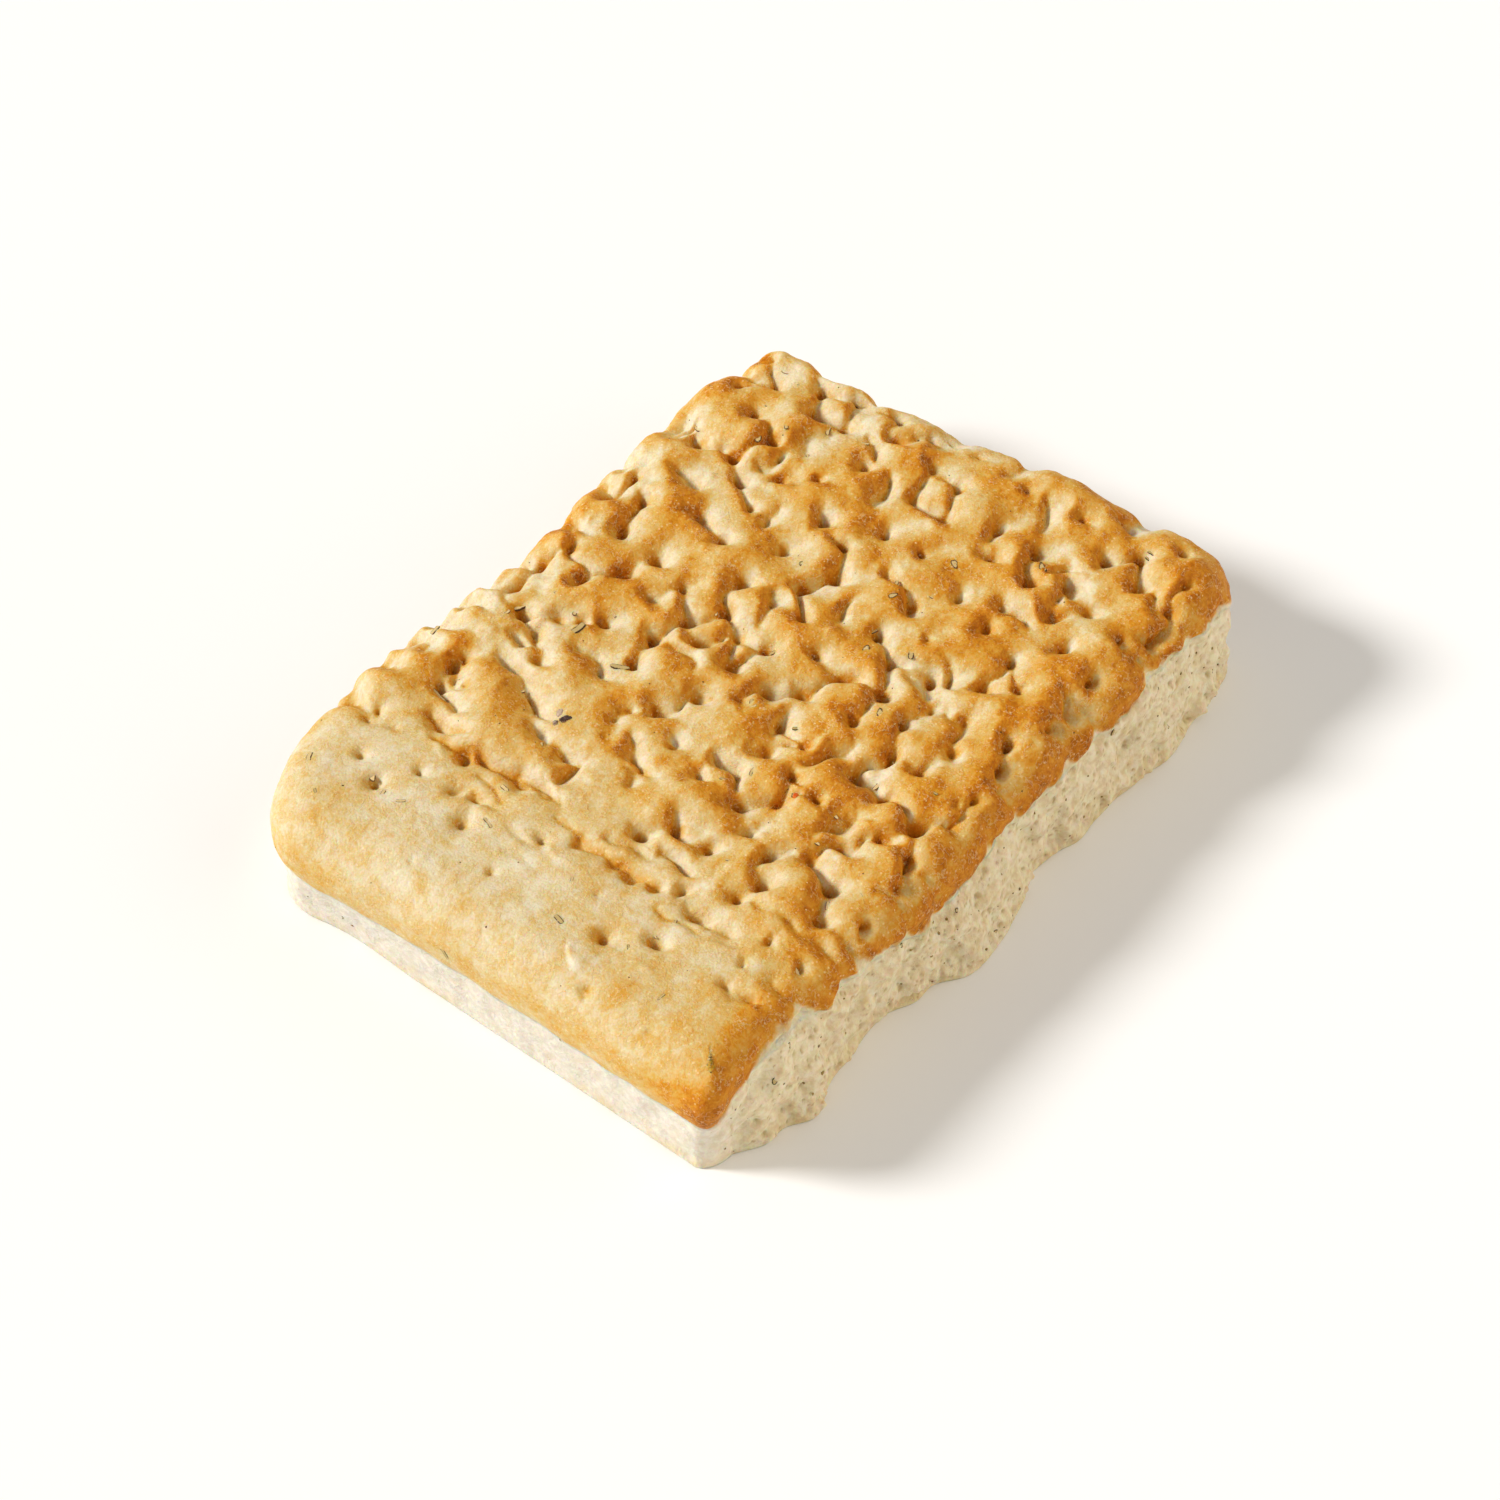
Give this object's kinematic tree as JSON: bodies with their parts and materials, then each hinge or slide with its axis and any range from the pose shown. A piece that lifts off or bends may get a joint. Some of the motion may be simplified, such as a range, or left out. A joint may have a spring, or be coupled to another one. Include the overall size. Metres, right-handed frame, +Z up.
{
  "type": "olive focaccia",
  "caption": "Rectangular slab of tray-baked olive focaccia: browned crust with docking pits and pillows, a smooth rolled end, a torn crumb side and herb bits baked in.",
  "frame": {"origin": "on the table, under the middle of the slab's bounding box", "axes": "+X along the slab, away from the smooth rolled end; +Y across it, away from the torn crumb side; +Z up, out of the crust"},
  "size_m": [0.2094, 0.1572, 0.0393],
  "materials": {
    "bread": "matte"
  },
  "bodies": {
    "root": {"focaccia": "bread"}
  },
  "joints": []
}
